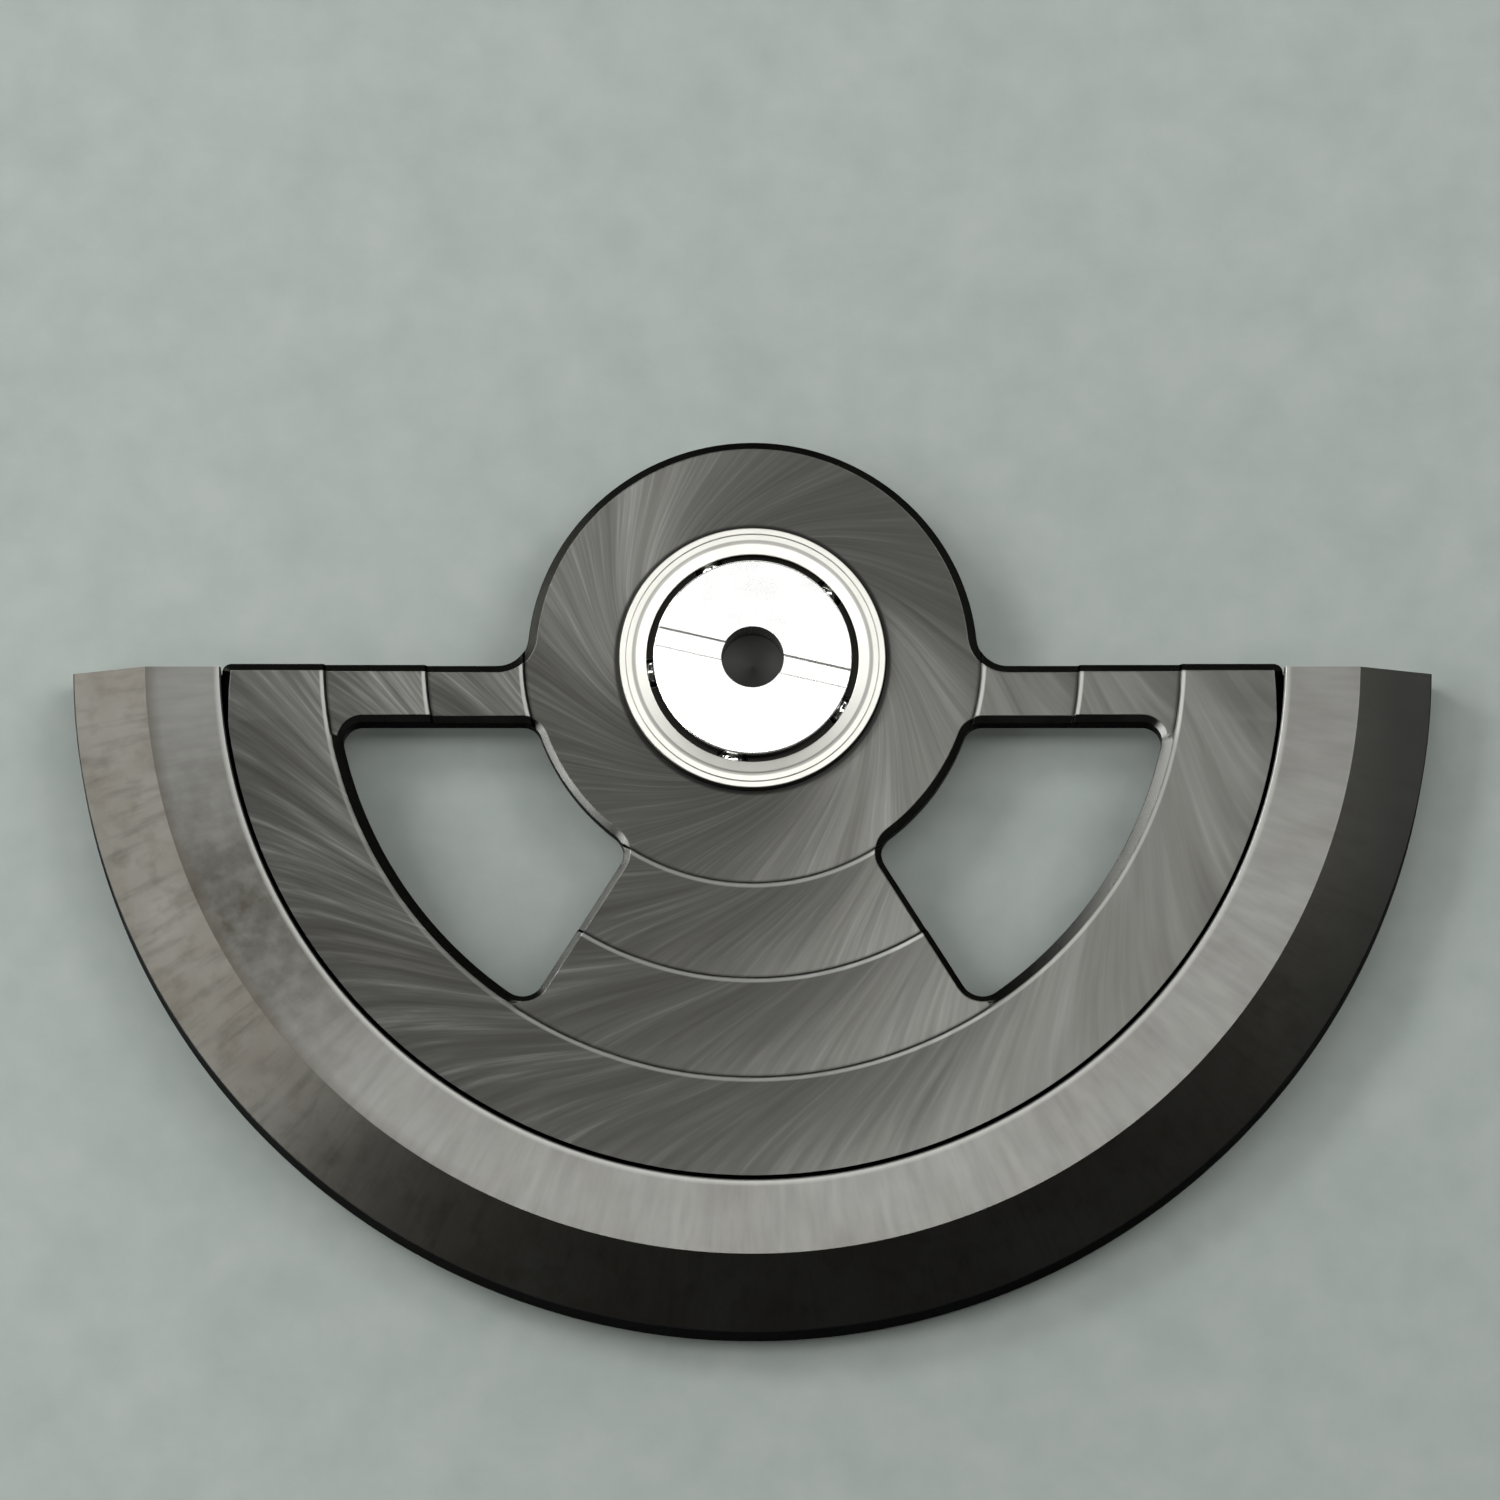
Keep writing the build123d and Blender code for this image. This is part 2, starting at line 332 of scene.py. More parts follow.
def nearest(points, loop, outward):
    """Distance from each point to a closed loop, and the loop's outward normal there."""
    ends, next_outward = np.roll(loop, -1, axis=0), np.roll(outward, -1, axis=0)
    side = ends - loop
    length_squared = (side**2).sum(axis=1)
    distance, normal = np.empty(len(points)), np.empty((len(points), 2))
    for start in range(0, len(points), batch_size):
        batch = slice(start, start + batch_size)
        offset = points[batch, None, :] - loop[None]
        share = np.clip((offset * side).sum(axis=2) / length_squared, 0, 1)
        gap = np.linalg.norm(offset - share[..., None] * side, axis=2)
        best = gap.argmin(axis=1)
        rows = np.arange(len(best))
        along = share[rows, best][:, None]
        distance[batch] = gap[rows, best]
        normal[batch] = (1 - along) * outward[best] + along * next_outward[best]
    return distance, unit(normal)


def relief(shell, loops, keep, surface, bottom_z, lines=()):
    """Slab between loops: `surface` gives its top's heights and normals, `keep` tells where it is solid."""
    points, edges = [], []
    for path, closed in [(loop, True) for loop in loops] + [(line, False) for line in lines]:
        start, count = len(points), len(path)
        points += [Vector(p) for p in path]
        edges += [(start + i, start + (i + 1) % count) for i in range(count if closed else count - 1)]
    found = delaunay_2d_cdt(points, edges, [], 0, merge_gap)
    flat, faces = np.array([p[:] for p in found[0]]), np.array(found[2])
    corners = flat[faces]
    spread = np.cross(corners[:, 1] - corners[:, 0], corners[:, 2] - corners[:, 0])
    faces = faces[(np.abs(spread) > least_spread) & keep(corners.mean(axis=1))]
    used, faces = np.unique(faces, return_inverse=True)
    faces, flat = faces.reshape(-1, 3), flat[used]
    heights, normals = surface(flat)
    shell.add(np.column_stack([flat, heights]), faces, normals)
    lower_heights, upward = level_top(bottom_z)(flat)
    shell.add(np.column_stack([flat, lower_heights]), faces, -upward)
    walls(shell, flat, faces, heights, bottom_z)


def slab(name, *shape):
    """Piece made of one slab."""
    shell = Shell()
    relief(shell, *shape)
    return shell.build(name)


def walls(shell, flat, faces, heights, bottom_z):
    """Upright walls along the faces' boundary, smooth except where it turns sharply."""
    sides = {}
    for face in faces.tolist():
        middle = flat[face].mean(axis=0)
        for a, b in zip(face, face[1:] + face[:1]):
            key = (min(a, b), max(a, b))
            sides[key] = None if key in sides else middle
    boundary, touching = {}, {}
    for (a, b), middle in sides.items():
        if middle is None:
            continue
        along = flat[b] - flat[a]
        across = np.array([along[1], -along[0]]) / np.linalg.norm(along)
        boundary[a, b] = -across if (middle - flat[a]) @ across > 0 else across
        for corner in (a, b):
            touching.setdefault(corner, []).append(boundary[a, b])
    points, normals, quads = [], [], []
    for (a, b), across in boundary.items():
        start = len(points)
        for corner in (a, b):
            shared = sum(n for n in touching[corner] if n @ across > same_wall)
            for z in (bottom_z, heights[corner]):
                points.append((*flat[corner], z))
                normals.append((*shared, 0))
        quads.append((start, start + 2, start + 3, start + 1))
    shell.add(points, quads, normals)


# Outlines of the plate and of its windows
def spoke_corner(distance, rounding):
    """Angle of a window corner's centre beside the spoke."""
    return math.radians(spoke_half_angle - 90) + math.asin(rounding / distance)


def plate_outline():
    """Half disc and hub disc in one, counterclockwise."""
    corner_y = plate_edge_y - plate_corner_radius
    corner_x = math.sqrt((plate_radius - plate_corner_radius) ** 2 - corner_y**2)
    corner_angle = math.atan2(corner_y, corner_x)
    fillet_y = plate_edge_y + hub_arm_fillet
    fillet_x = math.sqrt((hub_radius + hub_arm_fillet) ** 2 - fillet_y**2)
    fillet_angle = math.atan2(fillet_y, fillet_x)
    quarter, half = math.pi / 2, math.pi
    return arc_loop(
        (0, 0, plate_radius, half - corner_angle, 2 * half + corner_angle),
        (corner_x, corner_y, plate_corner_radius, corner_angle, quarter),
        (fillet_x, fillet_y, hub_arm_fillet, -quarter, fillet_angle - half),
        (0, 0, hub_radius, fillet_angle, half - fillet_angle),
        (-fillet_x, fillet_y, hub_arm_fillet, -fillet_angle, -quarter),
        (-corner_x, corner_y, plate_corner_radius, quarter, half - corner_angle),
    )


def window_outline():
    """Right-hand window, counterclockwise."""
    corner_y = arm_lower_y - window_arm_corner
    rim_x = math.sqrt((window_radius - window_arm_corner) ** 2 - corner_y**2)
    hub_x = math.sqrt((hub_radius + window_arm_corner) ** 2 - corner_y**2)
    rim_angle, hub_angle = math.atan2(corner_y, rim_x), math.atan2(corner_y, hub_x)
    low_hub, low_rim = hub_radius + window_hub_corner, window_radius - window_spoke_corner
    low_hub_angle = spoke_corner(low_hub, window_hub_corner)
    low_rim_angle = spoke_corner(low_rim, window_spoke_corner)
    low_hub_middle = low_hub * math.cos(low_hub_angle), low_hub * math.sin(low_hub_angle)
    low_rim_middle = low_rim * math.cos(low_rim_angle), low_rim * math.sin(low_rim_angle)
    spoke_side = math.radians(spoke_half_angle + 180)
    quarter, half = math.pi / 2, math.pi
    return arc_loop(
        (0, 0, window_radius, low_rim_angle, rim_angle),
        (rim_x, corner_y, window_arm_corner, rim_angle, quarter),
        (hub_x, corner_y, window_arm_corner, quarter, half + hub_angle),
        (0, 0, hub_radius, hub_angle, low_hub_angle),
        (*low_hub_middle, window_hub_corner, low_hub_angle + half, spoke_side),
        (*low_rim_middle, window_spoke_corner, spoke_side, low_rim_angle + 2 * half),
    )


def bevel_share(points):
    """Width of the outline's bevel at each point, as a share of the windows' one."""
    along_rim = (radii(points) > window_radius) * np.clip(rim_bevel_start_y - points[:, 1], 0, 1)
    return (plate_back_bevel + (plate_rim_bevel - plate_back_bevel) * along_rim) / plate_bevel


def bevel_profile(width):
    """Drops and tilts of a bevel by the distance from the edge."""
    profile, lean = slope([(far_reach, 0), (width, 0), (0, -width), (0, -far_reach)], 2 * edge_round)
    return profile[1:], np.abs(lean[1:])


def beside_rim(flat, outward):
    """Whether the nearest stretch of a window's edge follows the rim: 1 if so, 0 round the corners."""
    inward = -(outward * flat).sum(axis=1) / radii(flat)
    return np.clip((inward - beside_start) / beside_run, 0, 1)


def terrace_profile():
    """Heights and climbs of the terraces by radius."""
    steps = [(0, hub_top_z)]
    for level, radius in enumerate((hub_step_radius, middle_step_radius, outer_step_radius)):
        foot = hub_top_z + level * step_height
        steps += [(radius, foot), (radius + step_run, foot + step_height)]
    steps.append((plate_radius + far_reach, plate_top_z))
    return slope(steps[::-1], edge_round)


def plate_surface(edges):
    """Function for the plate's top, from its edges with their outward normals, the rim's first."""
    bevel, bevel_tilt = bevel_profile(plate_bevel)
    joined, joined_tilt = bevel_profile(joined_bevel)
    terraces, terrace_climb = terrace_profile()

    def surface(flat):
        """Height and normal at each point."""
        found = [nearest(flat, loop, outward) for loop, outward in edges]
        shares = bevel_share(flat)
        found[0] = (found[0][0] / shares, found[0][1])
        gaps = np.stack([distance for distance, _ in found])
        best = gaps.argmin(axis=0)
        rows = np.arange(len(flat))
        gap = gaps[best, rows]
        outward = np.stack([normal for _, normal in found])[best, rows]
        radius = radii(flat)
        depth = np.where(best == 0, np.maximum(shares, 1), 1)
        drop = depth * np.interp(gap, bevel[:, 0], bevel[:, 1])
        tilt = depth * np.interp(gap, bevel[:, 0], bevel_tilt) / np.where(best == 0, shares, 1)
        level = np.interp(radius, terraces[:, 0], terraces[:, 1])
        climb = np.interp(radius, terraces[:, 0], terrace_climb)
        beside = beside_rim(flat, outward)
        joined_level = plate_top_z + np.interp(gap, joined[:, 0], joined[:, 1])
        height = (1 - beside) * (level + drop) + beside * joined_level
        tilt = (1 - beside) * tilt + beside * np.interp(gap, joined[:, 0], joined_tilt)
        across = outward * tilt[:, None] + flat / radius[:, None] * ((1 - beside) * climb)[:, None]
        return height, np.column_stack([across, np.ones(len(flat))])

    return surface


def plate_lines(rim, rim_out, openings):
    """Loops along which the plate's top bends."""
    joined = bevel_profile(joined_bevel)[0]
    loops = [circle(ring_radius, arc_step / 2)]
    for gap in distances(bevel_profile(plate_bevel)[0][:-1]):
        loops.append(rim - rim_out * gap * bevel_share(rim)[:, None])
        loops += [loop - outward * gap for loop, outward in openings]
    for gap in distances(joined[joined[:, 0] > plate_bevel][:-1]):
        loops += [loop - outward * gap for loop, outward in openings]
    return loops + [circle(radius) for radius in distances(terrace_profile()[0][1:-1])]


def mark_plate_edges(plate, openings):
    """Gives the plate's bevels, steps and upright walls its second material."""
    terraces = terrace_profile()[0]
    middles = face_middles(plate)
    flat, height = middles[:, :2], middles[:, 2]
    sloped = height < np.interp(radii(flat), terraces[:, 0], terraces[:, 1]) - edge_round / 2
    for window, outward in openings:
        gap, toward = nearest(flat, window, outward)
        sloped |= (gap < joined_bevel - edge_round) & (beside_rim(flat, toward) > 0.5)
    give_second_material(plate, sloped & (height > plate_bottom_z + tiny))


def make_plate():
    """Rotor plate: bevelled outline, two windows, and terraces that rise outwards."""
    rim, right = plate_outline(), window_outline()
    left = (right * (-1, 1))[::-1]
    rim_out = loop_normals(rim)
    openings = [(window, -loop_normals(window)) for window in (right, left)]

    def keep(middle):
        solid = inside(middle, rim) & (radii(middle) > ring_radius)
        for window, _ in openings:
            solid &= ~inside(middle, window)
        return solid

    surface = plate_surface([(rim, rim_out)] + openings)
    plate = slab("plate_dressed", plate_lines(rim, rim_out, openings), keep, surface, plate_bottom_z)
    mark_plate_edges(plate, openings)
    return plate


def half_ring(radius):
    """First and last angle of the heavy half ring at a radius."""
    dip = math.asin(-weight_end_y / radius)
    return math.pi + dip, 2 * math.pi - dip


def make_weight():
    """Heavy half ring, with its two flat ends."""
    corners = [
        (ledge_radius, weight_bottom_z),
        (weight_radius - weight_foot_bevel, weight_bottom_z),
        (weight_radius, weight_bottom_z + weight_foot_bevel),
        (weight_radius, weight_top_z - weight_bevel_drop),
        (bevel_radius, weight_top_z),
        (lip_radius + weight_lip_bevel, weight_top_z),
        (lip_radius, weight_top_z - weight_lip_bevel),
        (lip_radius, plate_bottom_z),
        (ledge_radius, plate_bottom_z),
    ]
    shell = Shell()
    outline = lathe(shell, corners, half_ring, 300, 2 * edge_round)
    faces = tessellate_polygon([[Vector((r, z, 0)) for r, z in outline]])
    for side in (-1, 1):
        corners = [(side * math.sqrt(r**2 - weight_end_y**2), weight_end_y, z) for r, z in outline]
        shell.add(corners, faces, np.tile((0, 1.0, 0), (len(corners), 1)))
    weight = shell.build("weight_dressed")
    give_second_material(weight, radii(face_middles(weight)) > weight_radius - edge_round)
    return weight


def make_outer_ring():
    """Bearing outer ring."""
    groove_radius = cover_radius - cage_groove_gap
    return turned_piece(
        "outer_ring_dressed",
        (ring_bore_radius, ring_bottom_z),
        (ring_radius - ring_edge_bevel, ring_bottom_z),
        (ring_radius, ring_bottom_z + ring_edge_bevel),
        (ring_radius, ring_top_z - ring_edge_bevel),
        (ring_radius - ring_edge_bevel, ring_top_z),
        (cover_radius, ring_top_z),
        (cover_radius, groove_top_z),
        (groove_radius, groove_top_z),
        (groove_radius, groove_bottom_z),
        (outer_apex_radius - groove_half_height, groove_bottom_z),
        (ring_bore_radius, ball_plane_z - outer_apex_radius + ring_bore_radius),
    )


def make_cover_ring():
    """Cover ring of the bearing, with its dished lip."""
    return turned_piece(
        "cover_ring_dressed",
        (outer_apex_radius - groove_half_height, groove_top_z),
        (cover_radius, groove_top_z),
        (cover_radius, ring_top_z),
        (cover_radius - cover_lip_width, ring_top_z),
        (ring_bore_radius, ring_top_z - cover_lip_drop),
        (ring_bore_radius, ball_plane_z + outer_apex_radius - ring_bore_radius),
    )


def make_core():
    """Bearing core: seat, lower inner cone and neck."""
    return turned_piece(
        "core_dressed",
        (core_bore_radius, 0),
        (core_radius - core_edge_bevel, 0),
        (core_radius, core_edge_bevel),
        (core_radius, ball_plane_z - core_radius + inner_apex_radius),
        (cone_foot_radius, ball_plane_z - cone_land),
        (cone_foot_radius, ball_plane_z),
        (core_neck_radius, ball_plane_z),
        (core_neck_radius, neck_top_z),
        (core_bore_radius, neck_top_z),
    )


def make_cone():
    """Upper inner cone ring."""
    return turned_piece(
        "cone_dressed",
        (core_neck_radius, ball_plane_z),
        (cone_foot_radius, ball_plane_z),
        (cone_foot_radius, ball_plane_z + cone_land),
        (core_radius, race_top_z),
        (core_neck_radius, race_top_z),
    )


def make_cage(places):
    """Flat cage with a pocket for each ball, broken through its inner edge."""
    outer = cad_radius("ball_cage")
    inner = ball_pitch_radius - ball_radius + cage_inner_setback
    pocket = circle(ball_radius + pocket_clearance, arc_step / 3)
    loops = [circle(outer, arc_step / 2), circle(inner, arc_step / 2)]
    loops += [pocket + place[:2] for place in places]

    def keep(middle):
        radius = radii(middle)
        solid = (radius > inner) & (radius < outer)
        for place in places:
            solid &= radii(middle - place[:2]) > ball_radius + pocket_clearance
        return solid

    top_z, bottom_z = cad_heights("ball_cage")
    return slab("cage_dressed", loops, keep, level_top(top_z), bottom_z)


def make_ball(name, place):
    """Bearing ball, in rows from pole to pole."""
    rise = np.radians(np.linspace(-90, 90, ball_rows))
    turn = np.linspace(0, 2 * math.pi, ball_columns)
    rise, turn = np.meshgrid(rise, turn, indexing="ij")
    out = np.stack([np.cos(rise) * np.cos(turn), np.cos(rise) * np.sin(turn), np.sin(rise)], axis=2)
    out = out.reshape(-1, 3)
    shell = Shell()
    shell.add(out * ball_radius + place, grid_faces(*rise.shape), out)
    return shell.build(name)


def slot_directions():
    """Directions across and along the screw's slot."""
    slant = math.radians(screw_slot_angle)
    return np.array([-math.sin(slant), math.cos(slant)]), np.array([math.cos(slant), math.sin(slant)])


def slot_profile():
    """Heights and leans of the screw's top by the distance from the slot's middle."""
    half_width, floor_z = screw_slot_width / 2, head_top_z - screw_slot_depth
    wall = [(half_width, head_top_z), (half_width - slot_wall_draft, floor_z)]
    return slope([(core_radius + far_reach, head_top_z), *wall, (0, floor_z)], edge_round)


def head_surface(flat):
    """Height and normal of the screw's top at each point."""
    slot, slot_lean = slot_profile()
    across = slot_directions()[0]
    radius = radii(flat)
    offset = flat @ across
    level = np.interp(np.abs(offset), slot[:, 0], slot[:, 1])
    lean = np.interp(np.abs(offset), slot[:, 0], slot_lean) * np.sign(offset)
    depth = np.clip(screw_head_bevel - (core_radius - radius), 0, screw_head_bevel)
    rest = np.sqrt(screw_head_bevel**2 - depth**2)
    roll = depth / np.maximum(rest, tiny)
    spread = across[None] * lean[:, None] + flat / radius[:, None] * roll[:, None]
    return level - (screw_head_bevel - rest), np.column_stack([spread, np.ones(len(flat))])


def on_head(middle):
    """Whether the screw's head has material there."""
    return (radii(middle) < core_radius) & (radii(middle) > hole_radius)


def add_head(shell):
    """Screw head with its slot and its rounded edge."""
    across, along = slot_directions()
    loops = [circle(core_radius - share * screw_head_bevel, arc_step / 2) for share in head_bevel_shares]
    loops.append(circle(hole_radius, arc_step / 3))
    far, lines = along * (core_radius + slot_overrun), []
    for offset in distances(slot_profile()[0][1:-1]):
        for shift in (-offset * across, offset * across):
            lines.append([shift - far, shift + far])
    relief(shell, loops, on_head, head_surface, race_top_z, lines)


def make_screw():
    """Captive screw: slotted head with a centre hole, shank, and threaded end."""
    shell = Shell()
    add_head(shell)
    lathe(shell, [(thread_radius, 0), (shank_radius, 0), (shank_radius, race_top_z)], closed=False)
    hole_floor = head_top_z - screw_hole_depth
    hole_wall = [(hole_radius, head_top_z - screw_slot_depth), (hole_radius, hole_floor + screw_hole_cone)]
    lathe(shell, [*hole_wall, (tiny, hole_floor)], closed=False)
    add_thread(shell)
    lathe(shell, [(tiny, screw_tip_z), (thread_radius - screw_tip_bevel, screw_tip_z)], closed=False)
    screw = shell.build("screw_dressed")
    middles = face_middles(screw)
    # Faces inside the centre hole take the second material, painted dark as shade
    give_second_material(screw, (radii(middles) < hole_radius - tiny) & (middles[:, 2] > 0))
    return screw


def add_thread(shell):
    """Helical thread from the tip's bevel to the shank, which runs out at both ends."""
    heights = np.linspace(screw_tip_z, 0, thread_rows)
    turns = np.linspace(0, 2 * math.pi, thread_columns)
    z, turn = np.meshgrid(heights, turns, indexing="ij")
    phase = (z / thread_pitch - turn / (2 * math.pi)) % 1.0
    groove = 1 - np.abs(2 * phase - 1)
    fade = np.clip(-z / thread_pitch, 0, 1)
    tip = np.clip(screw_tip_bevel - (z - screw_tip_z), 0, None)
    radius = thread_radius - np.maximum(thread_depth * groove * fade, tip)
    points = np.stack([radius * np.cos(turn), radius * np.sin(turn), z], axis=2)
    by_turn, by_height = np.gradient(points, axis=1), np.gradient(points, axis=0)
    normals = np.cross(by_turn, by_height).reshape(-1, 3)
    shell.add(points.reshape(-1, 3), grid_faces(*z.shape), normals)


def make_gear():
    """Ring of teeth that drives the winding train."""
    pitch = ring_radius + gear_web_width
    module = 2 * pitch / gear_teeth
    root, tip = pitch - dedendum_share * module, pitch + addendum_share * module
    half_tooth = tooth_width_share * math.pi * module / 2
    half_tip = tooth_tip_share * half_tooth
    flank = [(root, half_tooth), (pitch, half_tooth), (tip, half_tip)]
    tooth = [(r, -y) for r, y in flank] + flank[::-1]
    rim = []
    for index in range(gear_teeth):
        turn = 2 * math.pi * index / gear_teeth
        c, s = math.cos(turn), math.sin(turn)
        rim += [(x * c - y * s, x * s + y * c) for x, y in tooth]
    rim = np.array(rim)

    def keep(middle):
        return inside(middle, rim) & (radii(middle) > ring_radius)

    loops = rim, circle(ring_radius, arc_step / 2)
    return slab("gear_dressed", loops, keep, level_top(plate_bottom_z), gear_bottom_z)


# Where a mix node keeps its two colours and their mix
mix_first, mix_second, mix_result = 6, 7, 2


class Nodes:
    """Short hand for the node tree of a new material or world."""

    def __init__(self, name, owners=bpy.data.materials):
        self.owner = owners.new(name)
        self.owner.use_nodes = True
        self.tree = self.owner.node_tree

    def feed(self, node, inputs):
        """Gives a node's inputs plain values, colours or other nodes' outputs."""
        for key, value in inputs.items():
            if isinstance(value, bpy.types.NodeSocket):
                self.tree.links.new(value, node.inputs[key])
            else:
                node.inputs[key].default_value = (*value, 1) if isinstance(value, tuple) else value

    def node(self, kind, inputs, **settings):
        """New shader node with its settings and inputs."""
        made = self.tree.nodes.new("ShaderNode" + kind)
        for key, value in settings.items():
            setattr(made, key, value)
        self.feed(made, inputs)
        return made

    def math(self, operation, *values):
        """Result of a math node."""
        return self.node("Math", dict(enumerate(values)), operation=operation).outputs[0]

    def times(self, first, second):
        """Product of two numbers."""
        return self.math("MULTIPLY", first, second)

    def scaled(self, value, factor, shift):
        """Number times a factor, plus a shift."""
        return self.math("MULTIPLY_ADD", value, factor, shift)

    def combine(self, x, y, z):
        """Vector of three numbers."""
        return self.node("CombineXYZ", {0: x, 1: y, 2: z}).outputs[0]

    def parts(self, vector):
        """The three numbers of a vector."""
        return self.node("SeparateXYZ", {0: vector}).outputs

    def coordinates(self, kind):
        """One of the texture coordinates."""
        return self.node("TexCoord", {}).outputs[kind]

    def place(self):
        """Place on the object, in millimetres."""
        inputs = {0: self.coordinates("Object"), "Scale": 1 / MM}
        return self.node("VectorMath", inputs, operation="SCALE").outputs[0]

    def polar(self, place):
        """The three numbers of a place, and its radius and angle about the axis."""
        x, y, z = self.parts(place)
        squares = self.math("ADD", self.times(x, x), self.times(y, y))
        radius = self.math("MAXIMUM", self.math("SQRT", squares), least_radius)
        return x, y, z, radius, self.math("ARCTAN2", y, x)

    def noise(self, vector, scale, detail, roughness):
        """Noise between 0 and 1 at a place."""
        inputs = {"Vector": vector, "Scale": scale, "Detail": detail, "Roughness": roughness}
        return self.node("TexNoise", inputs).outputs["Fac"]

    def ramp(self, value, *stops):
        """Colour by value, from (value, colour) stops."""
        made = self.node("ValToRGB", {0: value})
        elements = made.color_ramp.elements
        while len(elements) < len(stops):
            elements.new(0.5)
        for element, (position, colour) in zip(elements, stops):
            element.position = position
            element.color = (*colour, 1)
        return made.outputs[0]

    def grey(self, value, *stops):
        """Number by value, from (value, number) stops."""
        return self.ramp(value, *[(position, (number,) * 3) for position, number in stops])

    def mix(self, share, first, second, blend="MIX"):
        """Mix of two colours."""
        inputs = {0: share, mix_first: first, mix_second: second}
        return self.node("Mix", inputs, data_type="RGBA", blend_type=blend).outputs[mix_result]

    def bump(self, height, distance, strength):
        """Normal bent by a height, at a distance in millimetres."""
        inputs = {"Height": height, "Distance": distance * MM, "Strength": strength}
        return self.node("Bump", inputs).outputs[0]

    def finish(self, colour, roughness, glance=1.0, **more):
        """Sets the shader and returns the material; `glance` dims what is seen at a low angle."""
        inputs = {"Base Color": colour, "Roughness": roughness, "Specular Tint": (glance,) * 3}
        self.feed(self.tree.nodes["Principled BSDF"], {**inputs, "Metallic": 1.0, **more})
        return self.owner


def grain_noise(nodes, angle, depth, spread, along, detail, roughness):
    """Noise that is drawn out along a grain."""
    x, y = nodes.math("COSINE", angle), nodes.math("SINE", angle)
    place = nodes.combine(nodes.times(x, spread), nodes.times(y, spread), nodes.times(depth, along))
    return nodes.noise(place, 1.0, detail, roughness)


def across_grain(nodes, place, lean):
    """World direction across a grain that leans from the radial direction by some radians."""
    inputs = {"Vector": place, "Angle": nodes.math("SUBTRACT", math.pi / 2, lean)}
    across = nodes.node("VectorRotate", inputs, rotation_type="Z_AXIS").outputs[0]
    spaces = {"vector_type": "VECTOR", "convert_from": "OBJECT", "convert_to": "WORLD"}
    return nodes.node("VectorTransform", {0: across}, **spaces).outputs[0]


# Colours in linear light: stops of the ramps that noise runs through, and single ones
grain_stops = (0.30, (0.104, 0.101, 0.092)), (0.50, (0.134, 0.134, 0.123)), (0.70, (0.158, 0.160, 0.149))
# Plate bevels and walls: painted dark as shade
edge_painted_shade_stops = (0.35, (0.016, 0.016, 0.014)), (0.65, (0.024, 0.024, 0.022))
alloy_stops = (0.32, (0.180, 0.176, 0.162)), (0.50, (0.202, 0.201, 0.187)), (0.75, (0.222, 0.223, 0.209))
rim_stops = (0.32, (0.088, 0.082, 0.070)), (0.60, (0.108, 0.104, 0.092)), (0.80, (0.124, 0.121, 0.109))
# Weight faces that do not look up: painted darker as shade
side_painted_shade_stops = (0.35, (0.055, 0.057, 0.052)), (0.65, (0.080, 0.083, 0.076))
# Outer wall of the weight: painted dark as shade
wall_painted_shade_stops = (0.35, (0.022, 0.023, 0.022)), (0.65, (0.034, 0.035, 0.033))
paper_stops = (0.3, (0.335, 0.375, 0.352)), (0.7, (0.385, 0.42, 0.396))
# Single colours: a pale painted highlight for the steps' edges, painted shade for the plate below the steps
# and at the ring, and a painted highlight for left-facing plate bevels
step_highlight_steel, shaded_steel, edge_painted_highlight = (0.38, 0.385, 0.36), (0.03, 0.03, 0.027), (0.095, 0.096, 0.090)
# Single colours: a painted highlight for the weight's inner edge, painted shade for the rim's right end,
# and dark lines for the bearing rings
alloy_painted_highlight, rim_painted_shade, line_dark = (0.36, 0.36, 0.34), (0.056, 0.057, 0.052), (0.02, 0.019, 0.017)
stain_brown, seam_brown, speck_brown = (0.050, 0.045, 0.035), (0.075, 0.065, 0.049), (0.052, 0.046, 0.036)

# Brown stain on the weight's flat: its middle, counted clockwise from +X, and its half width
stain_angle, stain_spread = 153, 24

# Grain of the plate: each terrace was brushed by itself, in arcs that lie flatter at its inner edge
grain_leans = 62, 34
stroke_swing = 0.16
swing_stops = (0.36, 0.0), (0.41, 0.3), (0.48, 0.36), (0.51, 0.64), (0.59, 0.7), (0.63, 1.0)
terrace_radii = (ring_radius, hub_step_radius, middle_step_radius, outer_step_radius, plate_radius)

# Painted lines of the plate: pale painted highlights on the steps' edges, and painted shade below the steps
# and at the ring
step_highlight_width, foot_shade = 0.07, 0.05
beside_loss = 0.5

# Where the windows start and end beside the spoke's middle, as shares of half a turn
window_start = spoke_half_angle / 180
window_end = 0.5 - math.asin(-arm_lower_y / outer_step_radius) / math.pi
window_fade_in, window_fade_out, window_stop = 0.012, 0.018, 0.006


def terrace_span(nodes, radius):
    """Inner and outer radius of the terrace that a place is on."""
    inner, outer = terrace_radii[0], terrace_radii[1]
    for before, start, end in zip(terrace_radii, terrace_radii[1:], terrace_radii[2:]):
        passed = nodes.math("GREATER_THAN", radius, start + step_run / 2)
        inner = nodes.scaled(passed, start - before, inner)
        outer = nodes.scaled(passed, end - start, outer)
    return inner, outer


def strokes(nodes, radius, angle, inner, outer):
    """Lean of the grain from the radial direction, and an angle that is the same along a stroke."""
    depth = nodes.math("LOGARITHM", nodes.math("DIVIDE", radius, inner), math.e)
    whole = nodes.math("LOGARITHM", nodes.math("DIVIDE", outer, inner), math.e)
    share = nodes.math("DIVIDE", depth, whole)
    lean_inner, lean_outer = np.radians(grain_leans).tolist()
    lean = nodes.scaled(share, lean_outer - lean_inner, lean_inner)
    slope_inner, slope_outer = math.tan(lean_inner), math.tan(lean_outer)
    mean_slope = nodes.scaled(share, (slope_outer - slope_inner) / 2, slope_inner)
    return lean, nodes.scaled(depth, mean_slope, angle)


